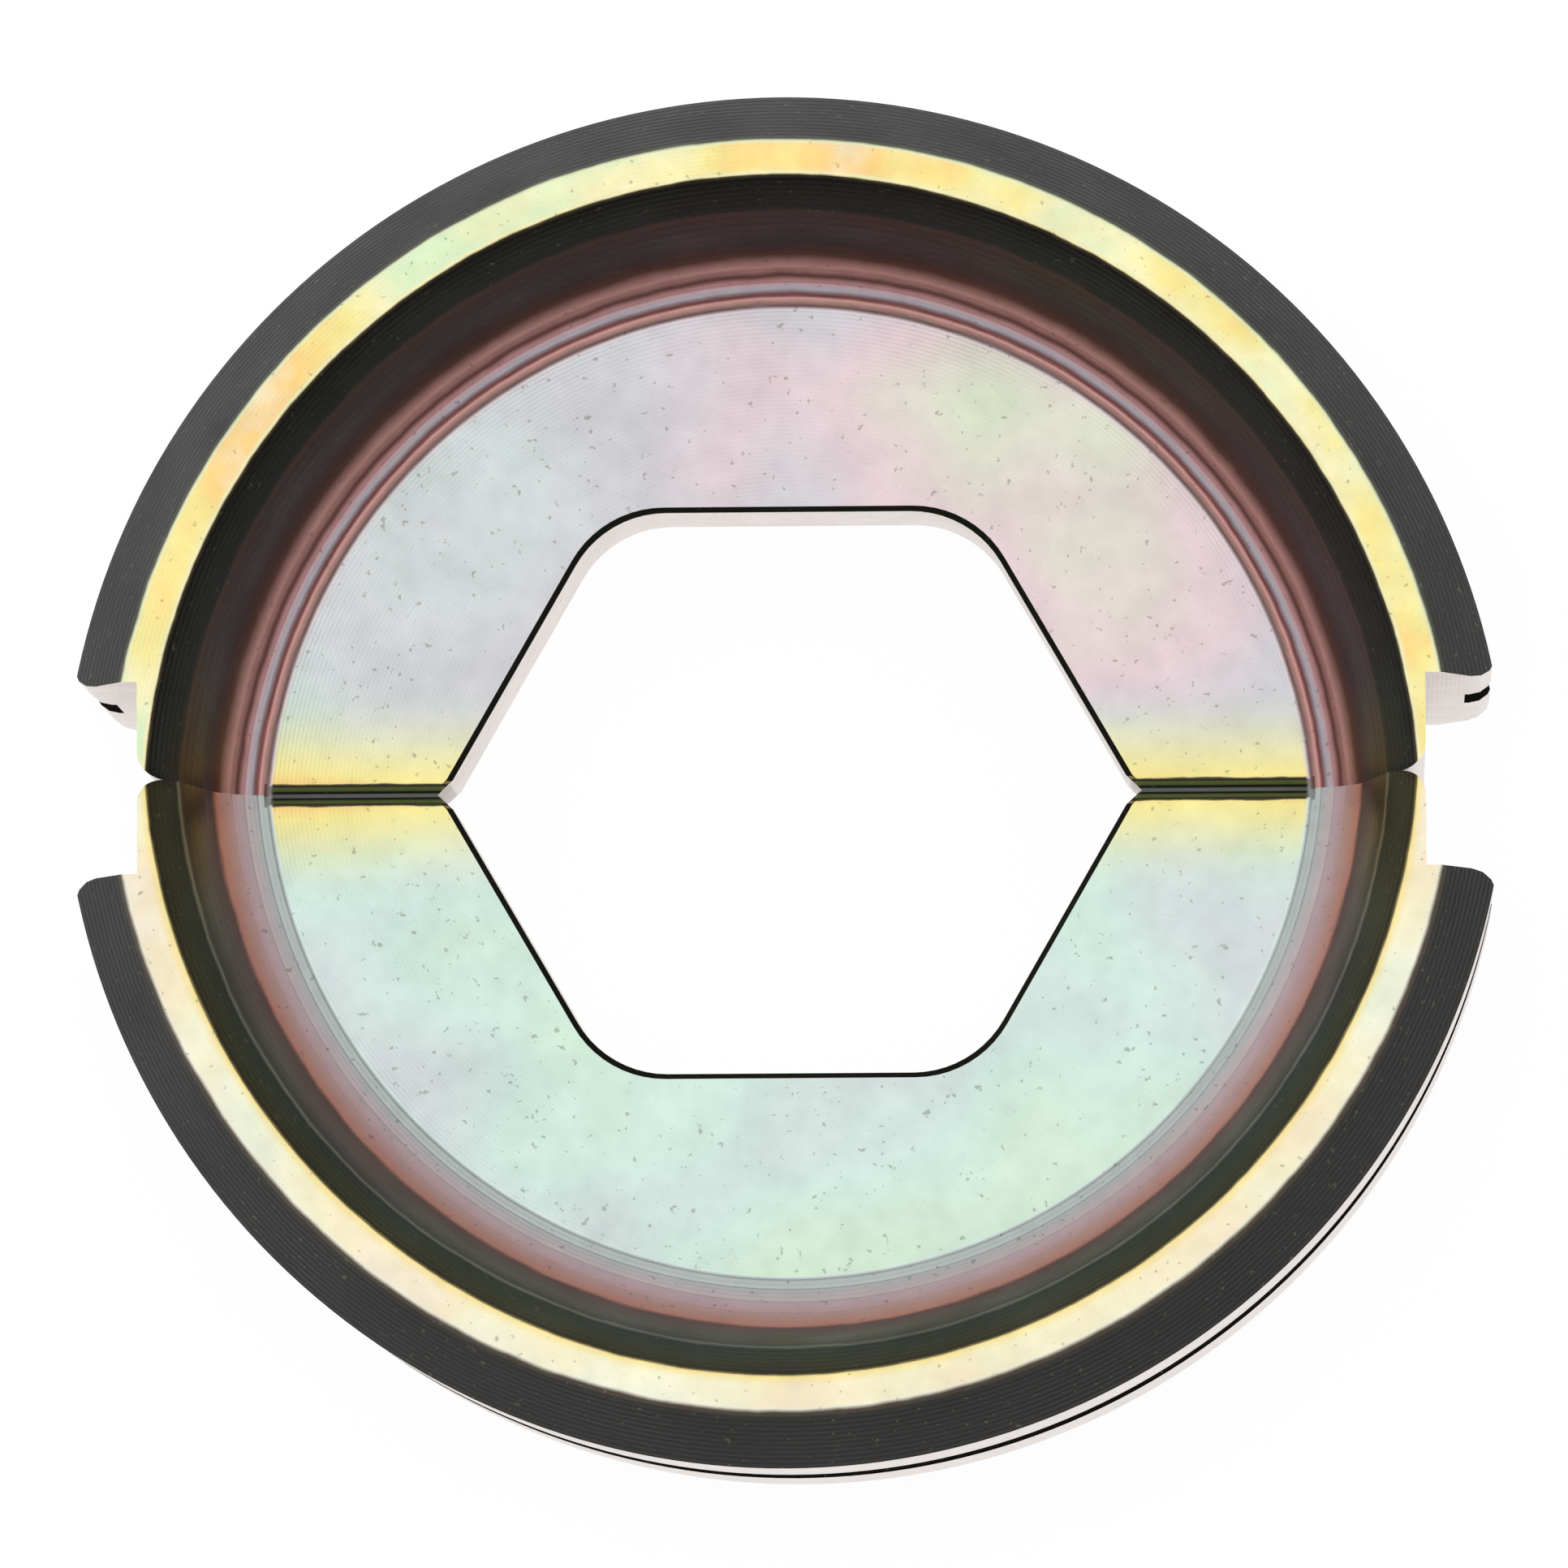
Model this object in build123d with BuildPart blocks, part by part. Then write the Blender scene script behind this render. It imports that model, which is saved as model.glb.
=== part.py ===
from build123d import *
import math
import os

# Hexagonal crimping die: two halves that close on a flat parting plane.
# Millimetres, +Z along the crimp axis, X along the parting line. The die lies on its rear rim face.
# The origin is at the middle of the closed die, on the rear rim face.

# Outer form. Each half is a little less than a semicircle: its arc centre lies beyond the parting plane.
outer_radius = 22.0
seat_offset = 1.08
die_thickness = 20.0

# Rim: a flat ring face between an outer cone and an inner cone, the same on both faces.
outer_cone_width = 1.64
outer_cone_height = 3.0
rim_face_width = 1.06
inner_cone_width = 0.9
inner_cone_height = 1.5

# Recess and web.
web_thickness = 5.0
recess_wall_draft = 0.9
recess_fillet = 1.5

# Retaining groove round the outer cylinder, at mid-thickness.
groove_width = 3.2
groove_depth = 0.87

# Notches at both ends of the parting plane.
shelf_height = 2.92
shelf_depth = 2.13
shelf_corner_radius = 0.7
wall_end_radius = 0.8
notch_root_radius = 0.3

# Crimp opening: a hexagon whose centre is also beyond the parting plane.
hexagon_across_flats = 19.44
hexagon_corner_radius = 3.2
mouth_break = 0.45
parting_edge_break = 0.37

rim_outer_radius = outer_radius - outer_cone_width
rim_inner_radius = rim_outer_radius - rim_face_width
recess_mouth_radius = rim_inner_radius - inner_cone_width
recess_floor_radius = recess_mouth_radius - recess_wall_draft
web_rear = (die_thickness - web_thickness) / 2
web_front = web_rear + web_thickness
middle = die_thickness / 2
groove_floor = outer_radius - groove_depth
arc_centre = Vector(0, -seat_offset, 0)
overrun = 1.0
tolerance = 0.01
section_plane = Plane(origin=arc_centre, x_dir=(1, 0, 0), z_dir=(0, -1, 0))


def rear_wall_points():
    """Rear recess side of the section, from the axis outwards to the rear rim face."""
    return [
        (0, web_rear),
        (recess_floor_radius, web_rear),
        (recess_mouth_radius, inner_cone_height),
        (rim_inner_radius, 0),
    ]


def rear_outer_points():
    """Outer side of the section, from the rear rim face up to the groove middle."""
    return [
        (rim_outer_radius, 0),
        (outer_radius, outer_cone_height),
        (outer_radius, middle - groove_width / 2),
        (groove_floor, middle - groove_width / 2),
    ]


def mirrored(points):
    """The same points on the front side, in reverse order."""
    return [(radius, die_thickness - height) for radius, height in reversed(points)]


def plan_arc_x(height):
    """Half width of the outer circle at a height above the parting plane."""
    return math.sqrt(outer_radius**2 - (height + seat_offset) ** 2)


# Upper half: a turned body, trimmed to its plan outline, then opened for the crimp.
with BuildPart() as upper_die_half:
    rear_points = rear_wall_points() + rear_outer_points()
    with BuildSketch(section_plane) as section:
        with BuildLine():
            Polyline(*rear_points, *mirrored(rear_points), close=True)
        make_face()
        base_corners = [
            corner
            for corner in section.vertices()
            if abs(section_plane.to_local_coords(corner.center()).X - recess_floor_radius) < tolerance
        ]
        fillet(base_corners, recess_fillet)
    revolve(axis=Axis(arc_centre, (0, 0, 1)))

    # Plan outline: the arc, the two shelves and the short flat walls down to the parting plane.
    shelf_x = plan_arc_x(shelf_height)
    notch_half_width = shelf_x - shelf_depth
    with BuildSketch(Plane.XY) as plan:
        with BuildLine():
            outline = Polyline(
                (shelf_x, shelf_height),
                (notch_half_width, shelf_height),
                (notch_half_width, 0),
                (-notch_half_width, 0),
                (-notch_half_width, shelf_height),
                (-shelf_x, shelf_height),
            )
            ThreePointArc(outline @ 1, (0, outer_radius - seat_offset), outline @ 0)
        make_face()
        fillet(plan.vertices().filter_by(lambda v: abs(abs(v.X) - shelf_x) < tolerance), shelf_corner_radius)
        fillet(
            plan.vertices().filter_by(lambda v: abs(v.Y) < tolerance),
            wall_end_radius,
        )
        fillet(
            plan.vertices().filter_by(
                lambda v: abs(v.Y - shelf_height) < tolerance and abs(abs(v.X) - notch_half_width) < tolerance
            ),
            notch_root_radius,
        )
    extrude(amount=die_thickness, mode=Mode.INTERSECT)

    # Half hexagon through the web, with its far corners rounded and its mouth edges broken.
    flat_height = hexagon_across_flats / 2 - seat_offset
    corner_x = hexagon_across_flats / 2 * math.tan(math.radians(30))
    mouth_x = corner_x + flat_height * math.tan(math.radians(30))
    break_x = mouth_x - mouth_break * math.tan(math.radians(30))
    with BuildSketch(Plane.XY) as opening:
        with BuildLine():
            Polyline(
                (corner_x, flat_height),
                (break_x, mouth_break),
                (mouth_x + mouth_break / 2, 0),
                (mouth_x + mouth_break / 2, -overrun),
                (-mouth_x - mouth_break / 2, -overrun),
                (-mouth_x - mouth_break / 2, 0),
                (-break_x, mouth_break),
                (-corner_x, flat_height),
                close=True,
            )
        make_face()
        fillet(opening.vertices().group_by(Axis.Y)[-1], hexagon_corner_radius)
    extrude(amount=die_thickness, mode=Mode.SUBTRACT)

    # Broken edges where both faces of the web meet the parting plane, along the flat of the web.
    with BuildSketch(Plane.YZ) as break_sections:
        for web_face, inwards in ((web_front, -parting_edge_break), (web_rear, parting_edge_break)):
            with BuildLine():
                Polyline(
                    (-overrun, web_face),
                    (parting_edge_break, web_face),
                    (-overrun, web_face + inwards * (1 + overrun / parting_edge_break)),
                    close=True,
                )
            make_face()
    extrude(amount=recess_floor_radius - recess_fillet, both=True, mode=Mode.SUBTRACT)

# Lower half: the same part turned half round the crimp axis.
with BuildPart() as lower_die_half:
    add(upper_die_half.part.rotate(Axis.Z, 180))

upper_die_half.part.label = "upper_die_half"
lower_die_half.part.label = "lower_die_half"

os.makedirs("parts", exist_ok=True)
export_step(upper_die_half.part, "parts/upper_die_half.step")
export_step(lower_die_half.part, "parts/lower_die_half.step")
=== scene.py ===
import math
import bpy
from mathutils import Matrix, Vector


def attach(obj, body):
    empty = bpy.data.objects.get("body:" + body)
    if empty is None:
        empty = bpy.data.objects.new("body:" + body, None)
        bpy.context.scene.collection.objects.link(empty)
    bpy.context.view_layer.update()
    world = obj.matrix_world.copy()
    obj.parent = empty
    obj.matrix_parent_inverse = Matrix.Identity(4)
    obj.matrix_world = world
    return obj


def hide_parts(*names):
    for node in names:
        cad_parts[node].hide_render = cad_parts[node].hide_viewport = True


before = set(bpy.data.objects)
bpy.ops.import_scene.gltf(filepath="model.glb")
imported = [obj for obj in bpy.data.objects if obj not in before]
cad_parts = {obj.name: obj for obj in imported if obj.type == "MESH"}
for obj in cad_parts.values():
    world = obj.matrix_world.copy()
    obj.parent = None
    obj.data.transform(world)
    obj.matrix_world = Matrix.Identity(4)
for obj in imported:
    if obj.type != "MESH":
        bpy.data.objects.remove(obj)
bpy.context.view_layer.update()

# Sizes in millimetres, the same as in the part.
MM = 0.001
ARC_RADIUS = 22.0
SEAT_OFFSET = 1.08
THICKNESS = 20.0
WEB_REAR = 7.5
WEB_FRONT = THICKNESS - WEB_REAR
SHELF = 2.92
SHELF_DEPTH = 2.13
SHELF_X = math.sqrt(ARC_RADIUS ** 2 - (SHELF + SEAT_OFFSET) ** 2)
NOTCH_X = SHELF_X - SHELF_DEPTH
WALL_END_RADIUS = 0.8
FLAT_HEIGHT = 8.64
HEXAGON_APOTHEM = 9.72
HEXAGON_CORNER_RADIUS = 3.2
MOUTH_BREAK = 0.45
OPENING_EDGE_BREAK = 0.16
PARTING_EDGE_BREAK = 0.37
SEAM_HALF_LENGTH = 18
OVERRUN = 1
ARC_STEPS = 240
SHARP_ANGLE = 22


def arc_points(cx, cy, radius, start, end, steps):
    """Points along an arc, with its angles in degrees."""
    return [(cx + radius * math.cos(math.radians(start + (end - start) * i / steps)),
             cy + radius * math.sin(math.radians(start + (end - start) * i / steps)))
            for i in range(steps + 1)]


def mesh_object(name, vertices, faces):
    mesh = bpy.data.meshes.new(name)
    mesh.from_pydata(vertices, [], faces)
    mesh.validate()
    obj = bpy.data.objects.new(name, mesh)
    bpy.context.scene.collection.objects.link(obj)
    return obj


def loft(name, low_outline, low, high_outline, high):
    """A solid between two level outlines that have the same number of points."""
    n = len(low_outline)
    vertices = [(x, y, low) for x, y in low_outline] + [(x, y, high) for x, y in high_outline]
    faces = [tuple(range(n - 1, -1, -1)), tuple(range(n, 2 * n))]
    faces += [(i, (i + 1) % n, n + (i + 1) % n, n + i) for i in range(n)]
    return mesh_object(name, vertices, faces)


def prism(name, outline):
    """An upright solid that runs past both faces of the die."""
    return loft(name, outline, -OVERRUN, outline, THICKNESS + OVERRUN)


def turned(name, section, centre_y):
    """A solid turned about the upright line through (0, centre_y).

    The section starts and ends on that line, so its first and last faces are the faces of the web.
    """
    rings = section[1:-1]
    count = ARC_STEPS
    vertices = []
    for radius, z in rings:
        for i in range(count):
            a = 2 * math.pi * i / count
            vertices.append((radius * math.cos(a), centre_y + radius * math.sin(a), z))
    faces = []
    for r in range(len(rings) - 1):
        for i in range(count):
            j = (i + 1) % count
            faces.append((r * count + i, r * count + j, (r + 1) * count + j, (r + 1) * count + i))
    faces.append(tuple(range(count - 1, -1, -1)))
    last = (len(rings) - 1) * count
    faces.append(tuple(range(last, last + count)))
    return mesh_object(name, vertices, faces)


def combine(target, cutter, operation):
    """Cuts the target with another solid, which is then removed."""
    modifier = target.modifiers.new("cut", "BOOLEAN")
    modifier.operation = operation
    modifier.solver = "EXACT"
    modifier.object = cutter
    bake(target)
    bpy.data.objects.remove(cutter, do_unlink=True)


def bake(obj):
    """Turns the object's modifiers into its plain mesh."""
    graph = bpy.context.evaluated_depsgraph_get()
    mesh = bpy.data.meshes.new_from_object(obj.evaluated_get(graph))
    obj.modifiers.clear()
    obj.data = mesh


def body_section():
    """Rear side of the section, then its mirror image: web, stepped fillet, wall, cones, groove."""
    rear = [(0, 7.5), (16.05, 7.5), (16.1, 7.42), (16.35, 7.36), (16.4, 7.26), (16.75, 7.1),
            (16.8, 6.98), (17.1, 6.7), (17.15, 6.55), (17.45, 6.1), (17.62, 5.6), (17.72, 5.0),
            (18.4, 1.5), (19.3, 0.0), (20.36, 0.0), (22.0, 3.0), (22.0, 8.4), (21.13, 8.4)]
    return rear + [(r, THICKNESS - z) for r, z in reversed(rear)]


def plan_outline():
    """The half from above: a line outside the arc, two notched corners and two rounded wall ends."""
    reach = ARC_RADIUS + 0.4
    start = math.degrees(math.asin((SHELF + SEAT_OFFSET + 0.7) / ARC_RADIUS))
    top = arc_points(0, -SEAT_OFFSET, reach, start, 180 - start, 90)
    corner = [(SHELF_X - inset, SHELF + rise)
              for inset, rise in ((0.75, 0), (0.42, 0.07), (0.16, 0.26), (0.03, 0.52))]
    wall_end = arc_points(NOTCH_X - WALL_END_RADIUS, WALL_END_RADIUS, WALL_END_RADIUS, 0, -90, 10)
    right = wall_end[::-1] + [(NOTCH_X, SHELF)] + corner
    left = [(-x, y) for x, y in reversed(right)]
    return top + left + right


def opening_outline():
    """Half of the hexagon, with rounded far corners and a broken mouth."""
    tan30 = math.tan(math.radians(30))
    corner_x = HEXAGON_APOTHEM * tan30
    mouth_x = corner_x + FLAT_HEIGHT * tan30
    wide_x = mouth_x + 0.22
    fillet_x = corner_x - HEXAGON_CORNER_RADIUS * tan30
    fillet_y = FLAT_HEIGHT - HEXAGON_CORNER_RADIUS
    right = arc_points(fillet_x, fillet_y, HEXAGON_CORNER_RADIUS, 30, 90, 10)
    left = [(-x, y) for x, y in reversed(right)]
    mouth = [(-mouth_x + 0.26, MOUTH_BREAK), (-wide_x, 0.0), (-wide_x, -2.0),
             (wide_x, -2.0), (wide_x, 0.0), (mouth_x - 0.26, MOUTH_BREAK)]
    return right + left + mouth


def flare(name, web_face, side):
    """Breaks the opening's edge on one face of the web."""
    outline = opening_outline()
    depth = OPENING_EDGE_BREAK
    share = 1 + 2 * depth / FLAT_HEIGHT
    grown = [(x * share, y * share) for x, y in outline]
    if side < 0:
        return loft(name, grown, web_face - depth, outline, web_face + depth)
    return loft(name, outline, web_face - depth, grown, web_face + depth)


def edge_break(name, web_face, side):
    """A long V along the parting edge of the web."""
    past = 0.1
    cut = PARTING_EDGE_BREAK
    section = [(-past, web_face + side * past), (cut, web_face + side * past),
               (-past, web_face - side * (cut + past))]
    vertices = [(x, y, z) for x in (-SEAM_HALF_LENGTH, SEAM_HALF_LENGTH) for y, z in section]
    faces = [(0, 1, 2), (5, 4, 3), (0, 3, 4, 1), (1, 4, 5, 2), (2, 5, 3, 0)]
    if side < 0:
        faces = [tuple(reversed(f)) for f in faces]
    return mesh_object(name, vertices, faces)


def die_half(name, turn):
    """One half in metres; the lower one is turned half round the crimp axis."""
    body = turned(name, body_section(), -SEAT_OFFSET)
    combine(body, prism("plan", plan_outline()), "INTERSECT")
    combine(body, prism("opening", opening_outline()), "DIFFERENCE")
    combine(body, flare("front_flare", WEB_FRONT, 1), "DIFFERENCE")
    combine(body, flare("rear_flare", WEB_REAR, -1), "DIFFERENCE")
    combine(body, edge_break("front_break", WEB_FRONT, 1), "DIFFERENCE")
    combine(body, edge_break("rear_break", WEB_REAR, -1), "DIFFERENCE")
    across = -MM if turn else MM
    for vertex in body.data.vertices:
        vertex.co = (vertex.co.x * across, vertex.co.y * across, vertex.co.z * MM)
    for polygon in body.data.polygons:
        polygon.use_smooth = True
    body.data.set_sharp_from_angle(angle=math.radians(SHARP_ANGLE))
    return body


def linear(rgb):
    """A colour given in 0 to 255 steps, as the shader's linear values."""
    shares = [c / 255 for c in rgb]
    return tuple(c / 12.92 if c <= 10 / 255 else ((c + 0.055) / 1.055) ** 2.4 for c in shares) + (1.0,)


class Nodes:
    """Short helpers for one material's node tree."""

    def __init__(self, name):
        self.material = bpy.data.materials.new(name)
        self.material.use_nodes = True
        self.tree = self.material.node_tree
        self.shader = self.tree.nodes["Principled BSDF"]

    def add(self, kind, **values):
        node = self.tree.nodes.new(kind)
        for key, value in values.items():
            setattr(node, key, value)
        return node

    def put(self, socket, value):
        """Links a socket, or sets its value."""
        if isinstance(value, bpy.types.NodeSocket):
            self.tree.links.new(value, socket)
        else:
            socket.default_value = value

    def math(self, operation, a, b=0.0, c=0.0):
        node = self.add("ShaderNodeMath", operation=operation)
        for i, value in enumerate((a, b, c)):
            self.put(node.inputs[i], value)
        return node.outputs[0]

    def ramp(self, value, stops, scale_low, scale_high):
        """A colour for each value, from stops that give a place and a colour."""
        node = self.add("ShaderNodeValToRGB")
        span = scale_high - scale_low
        elements = node.color_ramp.elements
        while len(elements) < len(stops):
            elements.new(0.5)
        for element, (place, colour) in zip(elements, stops):
            element.position = (place - scale_low) / span
            element.color = linear(colour)
        share = self.math("DIVIDE", self.math("SUBTRACT", value, scale_low), span)
        self.put(node.inputs[0], share)
        return node.outputs[0]

    def mix(self, share, a, b):
        node = self.add("ShaderNodeMix", data_type="RGBA")
        self.put(node.inputs[0], share)
        self.put(node.inputs[6], a)
        self.put(node.inputs[7], b)
        return node.outputs[2]

    def noise(self, scale, detail, vector, seed_shift=0.0):
        node = self.add("ShaderNodeTexNoise")
        mapping = self.add("ShaderNodeMapping")
        mapping.inputs["Location"].default_value = (seed_shift, seed_shift, 0)
        self.put(mapping.inputs["Vector"], vector)
        self.put(node.inputs["Vector"], mapping.outputs[0])
        node.inputs["Scale"].default_value = scale
        node.inputs["Detail"].default_value = detail
        return node.outputs[0]

    def inverse(self, value):
        return self.math("SUBTRACT", 1.0, value)

    def above(self, value, edge, soft):
        """0 below an edge and 1 above it, with a soft change between."""
        node = self.add("ShaderNodeMapRange", interpolation_type="SMOOTHSTEP")
        self.put(node.inputs["Value"], value)
        node.inputs["From Min"].default_value = edge - soft
        node.inputs["From Max"].default_value = edge + soft
        return node.outputs[0]


# Colour of each turned band, by its radius in millimetres about the half's arc centre. The dark wall bands
# are the film's brown darkened with painted reflection, and the near-black cone bands are painted
# reflection.
UPPER_BANDS_WITH_PAINTED_REFLECTION = [
    (15.6, (206, 210, 208)), (16.0, (222, 205, 208)), (16.12, (150, 110, 100)), (16.3, (255, 190, 180)),
    (16.42, (140, 70, 70)), (16.6, (236, 230, 240)), (16.8, (255, 190, 188)), (16.95, (120, 70, 62)),
    (17.2, (255, 190, 180)), (17.5, (110, 62, 40)), (17.75, (42, 26, 18)), (18.1, (62, 34, 24)),
    (18.36, (78, 50, 40)), (18.42, (32, 32, 26)), (19.2, (28, 28, 22)), (19.28, (80, 66, 36)),
    (19.34, (238, 232, 184)), (19.7, (245, 226, 146)), (20.1, (238, 232, 160)), (20.34, (222, 230, 190)),
    (20.42, (60, 58, 36)), (20.55, (24, 23, 21)), (21.9, (27, 25, 23))]
LOWER_BANDS_WITH_PAINTED_REFLECTION = [
    (15.6, (205, 224, 216)), (16.3, (226, 236, 232)), (16.9, (255, 226, 232)), (17.3, (255, 196, 186)),
    (17.55, (255, 172, 150)), (17.65, (90, 50, 30)), (18.1, (86, 54, 30)), (18.34, (60, 40, 28)),
    (18.4, (150, 140, 124)), (18.46, (44, 42, 28)), (18.9, (56, 58, 28)), (19.24, (62, 56, 22)),
    (19.34, (242, 222, 150)), (19.6, (238, 236, 214)), (20.3, (234, 232, 216)), (20.42, (72, 60, 40)),
    (20.6, (24, 23, 21)), (21.9, (27, 25, 23))]


BAND_LOW = 15.0
BAND_HIGH = 22.0
UPPER_FLOOR = [
    (0.3, (196, 216, 208)), (0.42, (208, 212, 212)), (0.52, (206, 204, 208)), (0.62, (226, 204, 208)),
    (0.75, (214, 222, 196))]
LOWER_FLOOR = [
    (0.3, (208, 230, 206)), (0.45, (205, 228, 218)), (0.56, (208, 214, 214)), (0.68, (206, 204, 210)),
    (0.8, (222, 232, 196))]
RIM_PATCHES = [
    (0.36, (206, 236, 204)), (0.45, (244, 240, 196)), (0.52, (245, 230, 150)), (0.6, (255, 206, 128)),
    (0.68, (240, 226, 206))]
# Colours by distance from the parting plane, in millimetres. The dark lines in the seam colours are painted
# reflection on the V of the broken parting edge.
WARM_EDGE = [(0.6, (246, 196, 120)), (1.2, (242, 228, 150)), (2.6, (228, 230, 176)), (3.8, (210, 222, 200))]
SEAM_WITH_PAINTED_REFLECTION = [
    (0.0, (150, 156, 152)), (0.05, (140, 144, 136)), (0.07, (34, 30, 20)), (0.12, (44, 40, 22)),
    (0.15, (120, 138, 84)), (0.24, (136, 146, 84)), (0.27, (60, 48, 24)), (0.36, (30, 26, 16))]
OPENING_ZONE_RADIUS = 14.0


class Plating(Nodes):
    """Zinc plated steel with a yellow, partly iridescent film, coloured by where each face was turned, with
    painted dark reflection on its cones, wall and broken edges.
    """

    def __init__(self, name):
        super().__init__(name)
        self.place()
        colour = self.mix(self.is_web, self.bands_with_painted_reflection(), self.web_colour_with_painted_seam_reflection())
        self.put(self.shader.inputs["Base Color"], self.grain(self.upright_colour_with_painted_edge_reflection(colour)))
        self.finish()
        self.turning_marks()

    def scaled_noise(self, scale, detail, shift, amount):
        """Noise about zero."""
        centred = self.math("SUBTRACT", self.noise(scale, detail, self.coordinates, shift), 0.5)
        return self.math("MULTIPLY", centred, amount)

    def place(self):
        """Where a point is: its radius about the arc centre, its height and its distance from the seam."""
        self.coordinates = self.add("ShaderNodeTexCoord").outputs["Object"]
        split = self.add("ShaderNodeSeparateXYZ")
        self.put(split.inputs[0], self.coordinates)
        x, y, z = (self.math("MULTIPLY", split.outputs[i], 1000.0) for i in range(3))
        self.from_parting = self.math("ABSOLUTE", y)
        self.from_arc = self.math("ADD", self.from_parting, SEAT_OFFSET)
        squares = (self.math("MULTIPLY", x, x), self.math("MULTIPLY", self.from_arc, self.from_arc))
        self.radius = self.math("SQRT", self.math("ADD", *squares))
        self.from_middle = self.math("ABSOLUTE", self.math("SUBTRACT", z, THICKNESS / 2))
        self.is_upper = self.math("GREATER_THAN", y, 0.0)
        self.ragged = self.scaled_noise(900.0, 4.0, 0.0, 0.12)
        self.band_place = self.math("ADD", self.radius, self.ragged)
        self.is_web = self.inverse(self.above(self.band_place, 15.95, 0.06))
        seam_place = self.math("ADD", self.from_parting, self.math("MULTIPLY", self.ragged, 1.2))
        self.off_seam = self.above(seam_place, 0.34, 0.03)
        self.pit_noise = self.noise(4200.0, 2.0, self.coordinates, 0.9)

    def bands_with_painted_reflection(self):
        """The turned bands outside the web, with ragged patches of mint and orange on the rim face, and
        painted dark reflection on the wall and both cones.
        """
        # Painted reflection: the wall bands are darkened and the cone bands are near-black.
        upper = self.ramp(self.band_place, UPPER_BANDS_WITH_PAINTED_REFLECTION, BAND_LOW, BAND_HIGH)
        lower = self.ramp(self.band_place, LOWER_BANDS_WITH_PAINTED_REFLECTION, BAND_LOW, BAND_HIGH)
        bands = self.mix(self.is_upper, lower, upper)
        patches = self.ramp(self.noise(140.0, 5.0, self.coordinates, 0.44), RIM_PATCHES, 0.0, 1.0)
        past_inner_edge = self.above(self.band_place, 19.42, 0.06)
        before_outer_edge = self.inverse(self.above(self.band_place, 20.3, 0.06))
        on_rim = self.math("MULTIPLY", past_inner_edge, before_outer_edge)
        strength = self.math("ADD", 0.3, self.math("MULTIPLY", self.is_upper, 0.45))
        return self.mix(self.math("MULTIPLY", on_rim, strength), bands, patches)

    def web_colour_with_painted_seam_reflection(self):
        """Slow patches of pink, mint and lilac, yellow beside the broken parting edge, and painted dark
        reflection lines on that edge's V.
        """
        patch = self.noise(75.0, 2.5, self.coordinates, 0.17)
        upper = self.ramp(patch, UPPER_FLOOR, 0.0, 1.0)
        lower = self.ramp(patch, LOWER_FLOOR, 0.0, 1.0)
        web = self.mix(self.is_upper, lower, upper)
        warm_place = self.math("ADD", self.from_parting, self.math("MULTIPLY", patch, 1.5))
        near = self.inverse(self.above(warm_place, 2.6, 1.6))
        web = self.mix(near, web, self.ramp(warm_place, WARM_EDGE, 0.0, 5.0))
        # Painted dark reflection along the V of the parting edge.
        seam = self.ramp(self.from_parting, SEAM_WITH_PAINTED_REFLECTION, 0.0, 0.4)
        return self.mix(self.inverse(self.off_seam), web, seam)

    def upright_colour_with_painted_edge_reflection(self, colour):
        """The outer cylinder, groove, notch walls and opening walls, and painted dark reflection on the
        opening's broken edge.
        """
        normal = self.add("ShaderNodeSeparateXYZ")
        self.put(normal.inputs[0], self.add("ShaderNodeTexCoord").outputs["Normal"])
        slope = self.math("ABSOLUTE", normal.outputs[2])
        tint = self.noise(220.0, 3.0, self.coordinates, 0.6)
        side = self.mix(tint, linear((226, 222, 220)), linear((236, 220, 212)))
        groove = self.all_of(
            self.math("LESS_THAN", self.from_middle, 1.62),
            self.math("GREATER_THAN", self.radius, 19.6),
            self.math("LESS_THAN", self.radius, 21.3),
            self.math("GREATER_THAN", self.from_arc, 4.2))
        side = self.mix(groove, side, linear((140, 104, 70)))
        colour = self.mix(self.math("LESS_THAN", slope, 0.1), colour, side)
        # Painted dark reflection on the opening's broken edge, picked out by the slope of its faces.
        broken = self.all_of(
            self.math("GREATER_THAN", slope, 0.2),
            self.math("LESS_THAN", slope, 0.9),
            self.math("LESS_THAN", self.radius, OPENING_ZONE_RADIUS),
            self.math("GREATER_THAN", self.from_parting, 0.42))
        return self.mix(broken, colour, linear((52, 58, 50)))

    def all_of(self, first, *others):
        """1 only where every share is 1."""
        for other in others:
            first = self.math("MULTIPLY", first, other)
        return first

    def grain(self, colour):
        """Fine pits and an uneven brightness."""
        pits = self.math("MULTIPLY", self.above(self.pit_noise, 0.7, 0.03), 0.45)
        grain = self.add("ShaderNodeHueSaturation")
        self.put(grain.inputs["Color"], self.mix(pits, colour, linear((110, 104, 84))))
        uneven = self.math("MULTIPLY", self.noise(1500.0, 4.0, self.coordinates), 0.2)
        self.put(grain.inputs["Value"], self.math("ADD", 0.9, uneven))
        return grain.outputs[0]

    def finish(self):
        """Metallic all over, but less so in the fillet and the seam, where the film is thick."""
        past_floor = self.above(self.radius, 16.0, 0.05)
        before_wall = self.inverse(self.above(self.radius, 17.6, 0.15))
        in_fillet = self.math("MULTIPLY", past_floor, before_wall)
        in_seam = self.math("MULTIPLY", self.inverse(self.off_seam), self.is_web)
        film = self.math("MULTIPLY", self.math("MAXIMUM", in_fillet, in_seam), 0.8)
        self.put(self.shader.inputs["Metallic"], self.math("SUBTRACT", 0.96, film))
        uneven = self.math("MULTIPLY", self.noise(400.0, 3.0, self.coordinates, 0.2), 0.2)
        self.put(self.shader.inputs["Roughness"], self.math("ADD", 0.26, uneven))

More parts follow.
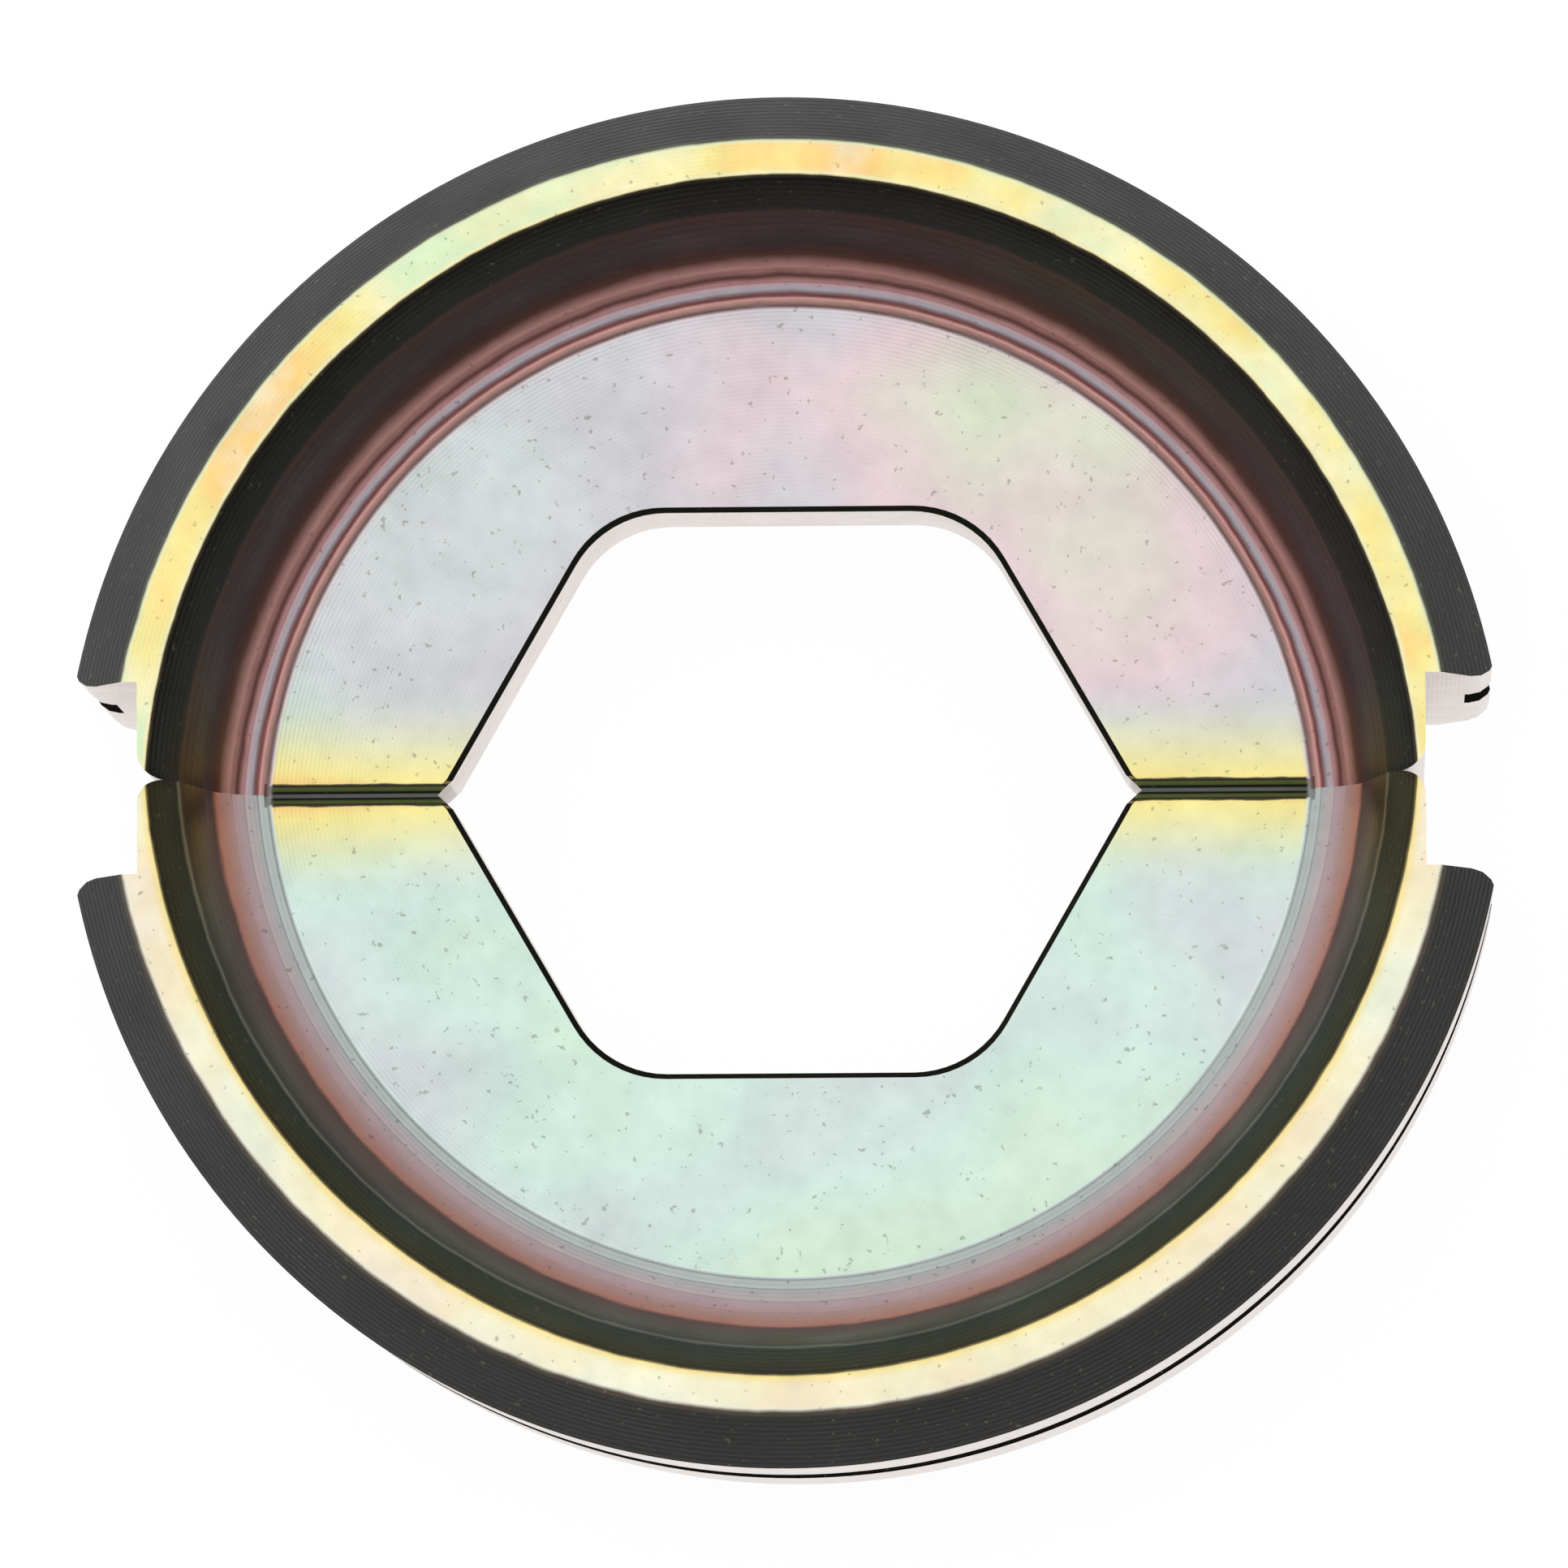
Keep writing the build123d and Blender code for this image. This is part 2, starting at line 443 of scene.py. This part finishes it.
    def turning_marks(self):
        """Fine marks that run round the arc centre, and the depth of the pits."""
        drift = self.scaled_noise(110.0, 2.0, 0.3, 0.25)
        place = self.math("ADD", self.radius, self.math("MULTIPLY", drift, 0.1))
        wave = self.math("SINE", self.math("MULTIPLY", place, 48.0))
        marks = self.math("MULTIPLY", wave, self.noise(160.0, 2.0, self.coordinates, 0.5))
        marks = self.math("MULTIPLY", marks, 0.25)
        pits = self.math("MULTIPLY", self.pit_noise, 0.6)
        bump = self.add("ShaderNodeBump")
        bump.inputs["Strength"].default_value = 0.3
        bump.inputs["Distance"].default_value = 0.00004
        self.put(bump.inputs["Height"], self.math("ADD", marks, pits))
        self.put(self.shader.inputs["Normal"], bump.outputs[0])


plating = Plating("plated_steel").material
for half_name, turned_round in (("upper_die_half", False), ("lower_die_half", True)):
    half = die_half(half_name + "_surface", turned_round)
    half.data.materials.clear()
    half.data.materials.append(plating)
    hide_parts(half_name)
    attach(half, "root")


def white_floor():
    """White paper just under the die. It glows a little, and keeps the die's shadow."""
    half = 0.9
    level = -0.00002
    corners = ((-half, -half), (half, -half), (half, half), (-half, half))
    floor = mesh_object("floor", [(x, y, level) for x, y in corners], [(0, 1, 2, 3)])
    n = Nodes("white_paper")
    glow = n.add("ShaderNodeEmission")
    glow.inputs["Color"].default_value = (1, 1, 1, 1)
    glow.inputs["Strength"].default_value = 1.08
    paper = n.add("ShaderNodeBsdfDiffuse")
    paper.inputs["Color"].default_value = (0.9, 0.9, 0.9, 1)
    blend = n.add("ShaderNodeMixShader")
    n.put(blend.inputs[0], 0.12)
    n.tree.links.new(glow.outputs[0], blend.inputs[1])
    n.tree.links.new(paper.outputs[0], blend.inputs[2])
    output = n.tree.nodes["Material Output"]
    n.tree.links.new(blend.outputs[0], output.inputs["Surface"])
    floor.data.materials.append(n.material)


white_floor()


def area_light(name, place, size, power, aim=(0, 0, 0.01)):
    """A square lamp that faces the aim point."""
    data = bpy.data.lights.new(name, "AREA")
    data.size = size
    data.energy = power
    lamp = bpy.data.objects.new(name, data)
    lamp.location = place
    lamp.rotation_euler = (Vector(aim) - Vector(place)).to_track_quat("-Z", "Y").to_euler()
    bpy.context.scene.collection.objects.link(lamp)


area_light("overhead_light", (0.02, 0.02, 0.7), 0.8, 1.95)
area_light("left_fill", (-0.5, 0.3, 0.35), 0.25, 0.25)

world = bpy.data.worlds.new("studio")
bpy.context.scene.world = world
world.use_nodes = True
world.node_tree.nodes["Background"].inputs["Color"].default_value = (0.75, 0.77, 0.8, 1)
world.node_tree.nodes["Background"].inputs["Strength"].default_value = 0.35

# The camera looks down on the die, a little from below and from the right of the photo.
camera_data = bpy.data.cameras.new("camera")
camera = bpy.data.objects.new("camera", camera_data)
distance = 0.5
frame_width = 0.0477
sensor_width = 36.0
tilt_y = math.radians(4.4)
tilt_x = math.radians(2.0)
roll = math.radians(-0.43)
target = Vector((0.0, -0.0001, 0.017))
direction = Vector((math.sin(tilt_x), -math.sin(tilt_y), math.cos(tilt_y))).normalized()
camera.location = target + direction * distance
across = Vector((1, 0, 0))
across = (across - direction * across.dot(direction)).normalized()
upwards = direction.cross(across)
camera.rotation_euler = Matrix((across, upwards, direction)).transposed().to_euler()
camera.rotation_euler.rotate_axis("Z", roll)
camera_data.sensor_width = sensor_width
camera_data.lens = sensor_width * distance / frame_width
camera_data.clip_start = 0.01
bpy.context.scene.collection.objects.link(camera)
bpy.context.scene.camera = camera
bpy.context.scene.view_settings.view_transform = "Standard"
